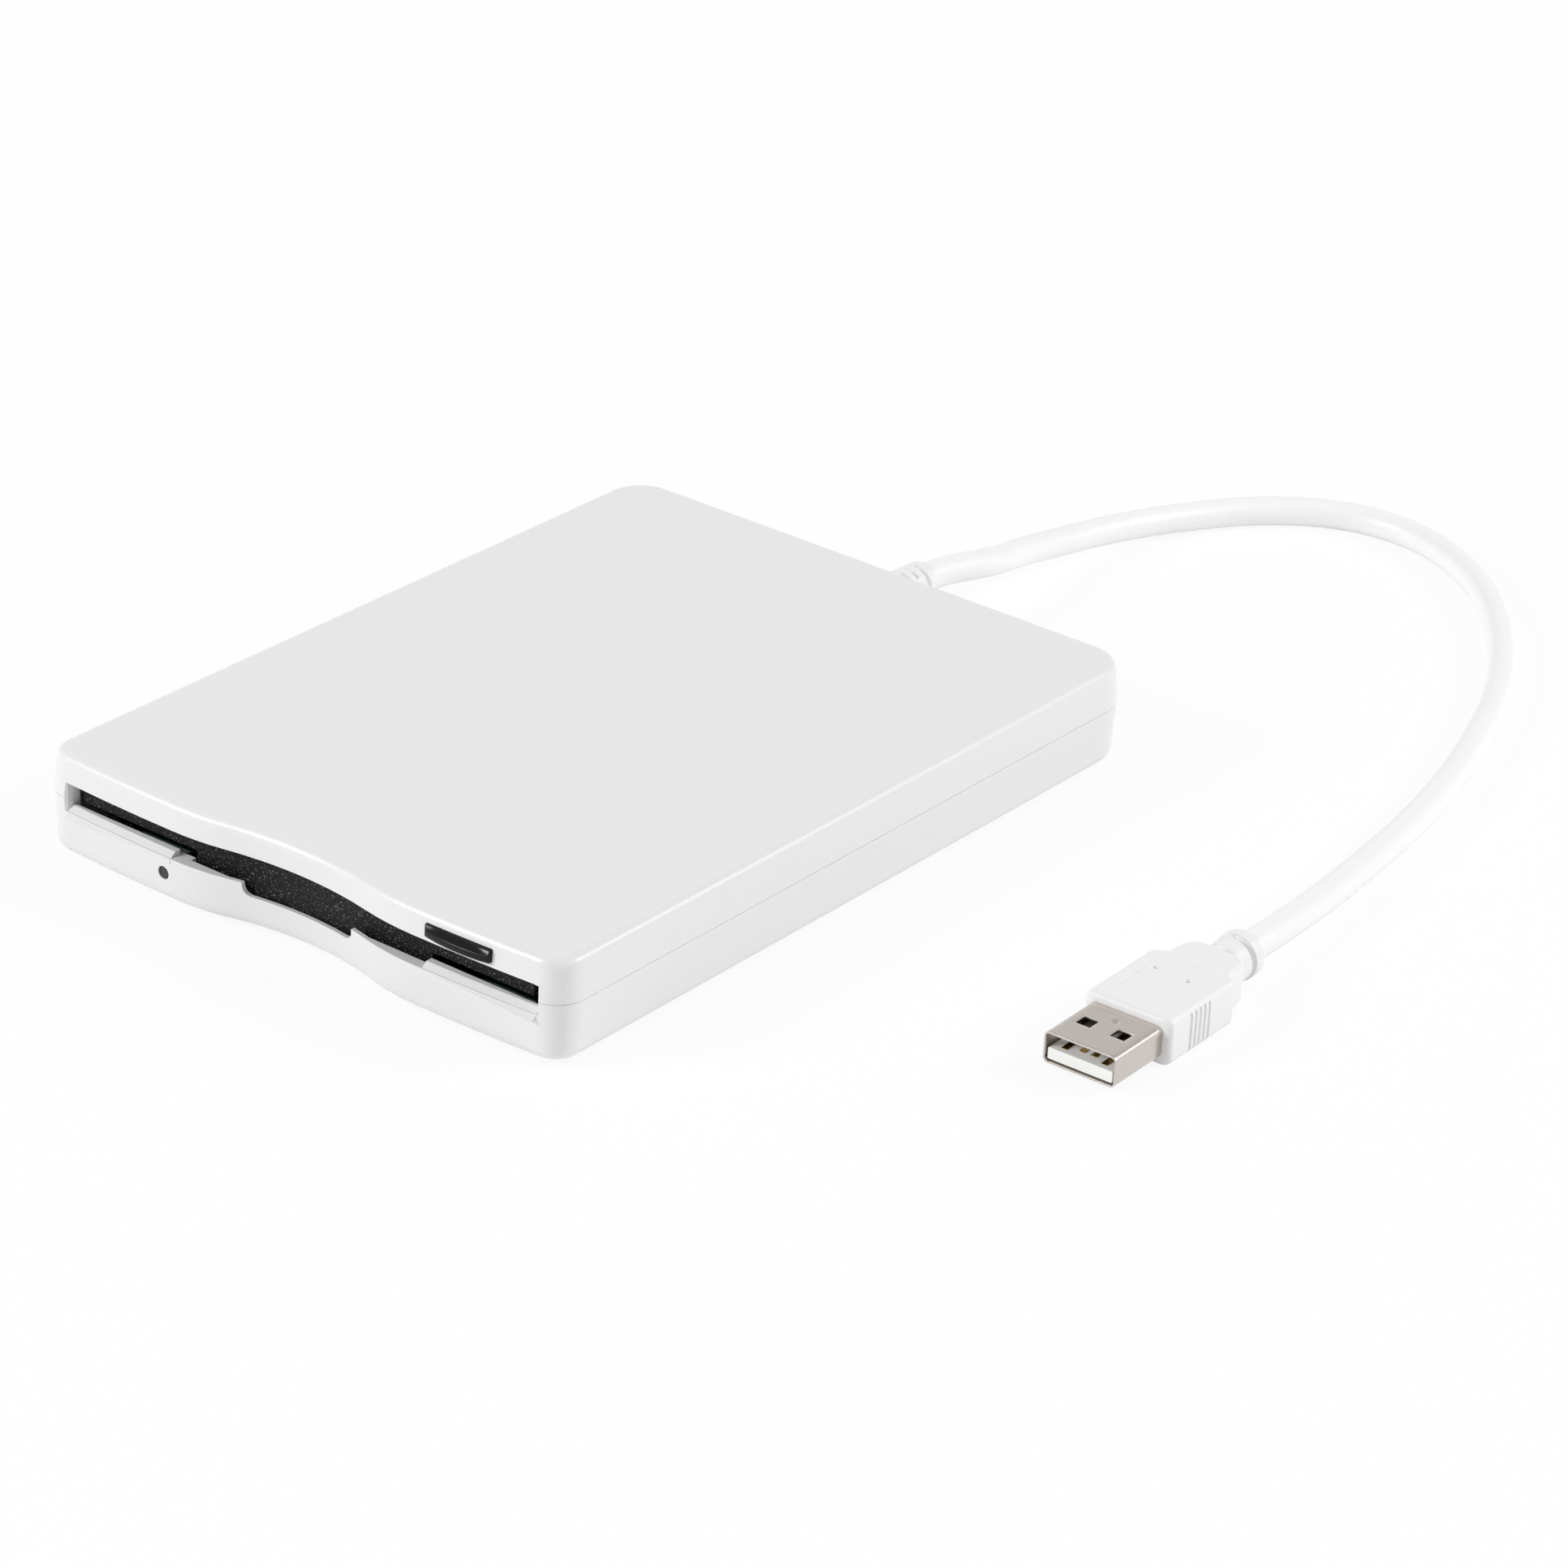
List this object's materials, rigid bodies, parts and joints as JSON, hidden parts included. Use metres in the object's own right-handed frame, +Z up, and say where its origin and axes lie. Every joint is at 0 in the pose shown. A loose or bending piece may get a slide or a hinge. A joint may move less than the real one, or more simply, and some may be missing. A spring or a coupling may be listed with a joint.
{
  "type": "external floppy disk drive",
  "caption": "Slim desktop floppy disk drive with a front disk slot, sprung dust flap, eject button, loading mechanism, rubber feet and a short attached data cable ending in a flat plug.",
  "frame": {"origin": "under the middle of the case, on the surface that the feet stand on", "axes": "+X to the right seen from the front, +Y from the disk slot towards the cable, +Z up"},
  "size_m": [0.1676, 0.2473, 0.0179],
  "materials": {
    "white_abs": "satin white moulded ABS",
    "black_flap": "fine spark-eroded texture",
    "black_button": "polished black",
    "smoked_lens": "smoked clear",
    "clear_led": "clear epoxy",
    "foot_rubber": "matt grey",
    "zinc_sheet": "zinc plated",
    "stainless_sheet": "rolled stainless",
    "bright_steel": "ground",
    "spring_steel": "drawn wire",
    "green_board": "solder mask",
    "chip_epoxy": "moulded epoxy",
    "switch_black": "moulded",
    "switch_white": "moulded nylon",
    "sintered_bronze": "sintered",
    "core_steel": "stamped",
    "copper_wire": "enamelled winding",
    "rotor_steel": "drawn cup",
    "ferrite": "sintered ferrite",
    "carriage_resin": "filled resin",
    "head_ceramic": "lapped",
    "motor_can": "drawn can",
    "flat_cable_film": "film",
    "wire_insulation": "extruded",
    "cable_pvc": "soft white PVC",
    "plug_pvc": "soft white PVC",
    "nickel_plate": "nickel plated",
    "plug_resin": "moulded",
    "gold_contact": "gold plated"
  },
  "bodies": {
    "case": {"base_shell": "white_abs", "top_cover": "white_abs", "case_screws": "bright_steel", "rubber_feet": "foot_rubber", "status_lens": "smoked_lens", "status_led": "clear_led", "switch_board": "green_board", "switch_bodies": "switch_black", "chassis_frame": "zinc_sheet", "chassis_screws": "bright_steel", "guide_rods": "bright_steel", "eject_springs": "spring_steel", "motor_board": "green_board", "spindle_bearing": "sintered_bronze", "stator_core": "core_steel", "stator_coils": "copper_wire", "stepper_motor": "motor_can", "screw_bracket": "zinc_sheet", "control_board": "green_board", "board_chips": "chip_epoxy", "cable_socket": "switch_white", "flat_cable": "flat_cable_film", "cable_boot": "cable_pvc", "signal_wires": "wire_insulation", "usb_cable": "cable_pvc", "plug_grip": "plug_pvc", "plug_shell": "nickel_plate", "plug_tongue": "plug_resin", "plug_contacts": "gold_contact"},
    "flap": {"dust_flap": "black_flap"},
    "eject_slider": {"eject_slide_plate": "zinc_sheet", "eject_button": "black_button"},
    "holder": {"disk_holder": "stainless_sheet", "holder_pins": "bright_steel"},
    "shutter_arm": {"shutter_lever": "stainless_sheet"},
    "spindle": {"rotor_cup": "rotor_steel", "rotor_magnet": "ferrite", "hub_plate": "bright_steel", "spindle_shaft": "bright_steel", "drive_pin": "bright_steel"},
    "carriage": {"head_carriage": "carriage_resin", "arm_pin": "bright_steel", "screw_follower": "bright_steel", "lower_head": "head_ceramic"},
    "upper_arm": {"head_arm": "stainless_sheet", "upper_head": "head_ceramic"},
    "leadscrew": {"lead_screw": "bright_steel"},
    "density_switch": {"density_plunger": "switch_white"},
    "protect_switch": {"protect_plunger": "switch_white"},
    "disk_in_switch": {"disk_in_plunger": "switch_white"}
  },
  "joints": [
    {"name": "flap_swing", "type": "hinge", "parent": "case", "child": "flap", "pos_m": [0, -0.0679, 0.0134], "axis": [1, 0, 0], "range_deg": [0, 78], "stiffness_Nm_per_rad": 0.002, "springref_deg": -11.46},
    {"name": "eject_slide", "type": "slide", "parent": "case", "child": "eject_slider", "axis": [0, -1, 0], "range_m": [0, 0.0036]},
    {"name": "holder_drop", "type": "slide", "parent": "case", "child": "holder", "axis": [0, 0, -1], "range_m": [0, 0.0026]},
    {"name": "shutter_swing", "type": "hinge", "parent": "holder", "child": "shutter_arm", "pos_m": [-0.03, 0.0226, 0.0138], "axis": [0, 0, 1], "range_deg": [0, 50], "stiffness_Nm_per_rad": 0.001, "springref_deg": -11.46},
    {"name": "spindle_spin", "type": "hinge", "parent": "case", "child": "spindle", "pos_m": [0, -0.0194, 0.0058], "axis": [0, 0, 1], "continuous": true},
    {"name": "screw_turn", "type": "hinge", "parent": "case", "child": "leadscrew", "pos_m": [0.026, 0.0386, 0.0094], "axis": [0, 1, 0], "range_deg": [0, 1440]},
    {"name": "carriage_travel", "type": "slide", "parent": "case", "child": "carriage", "axis": [0, -1, 0], "range_m": [0, 0.015]},
    {"name": "arm_lift", "type": "hinge", "parent": "carriage", "child": "upper_arm", "pos_m": [0, 0.0521, 0.014], "axis": [1, 0, 0], "range_deg": [0, 8.1]},
    {"name": "density_press", "type": "slide", "parent": "case", "child": "density_switch", "axis": [0, 0, -1], "range_m": [0, 0.0008], "stiffness_N_per_m": 200, "springref_m": -0.0005},
    {"name": "protect_press", "type": "slide", "parent": "case", "child": "protect_switch", "axis": [0, 0, -1], "range_m": [0, 0.0008], "stiffness_N_per_m": 200, "springref_m": -0.0005},
    {"name": "disk_in_press", "type": "slide", "parent": "case", "child": "disk_in_switch", "axis": [0, 0, -1], "range_m": [0, 0.0008], "stiffness_N_per_m": 200, "springref_m": -0.0005}
  ],
  "couplings": [
    {"joint": "holder_drop", "follows": "eject_slide", "ratio": 0.72222},
    {"joint": "arm_lift", "follows": "eject_slide", "rad_per_m": 39.2},
    {"joint": "screw_turn", "follows": "carriage_travel", "rad_per_m": 1675.5}
  ]
}
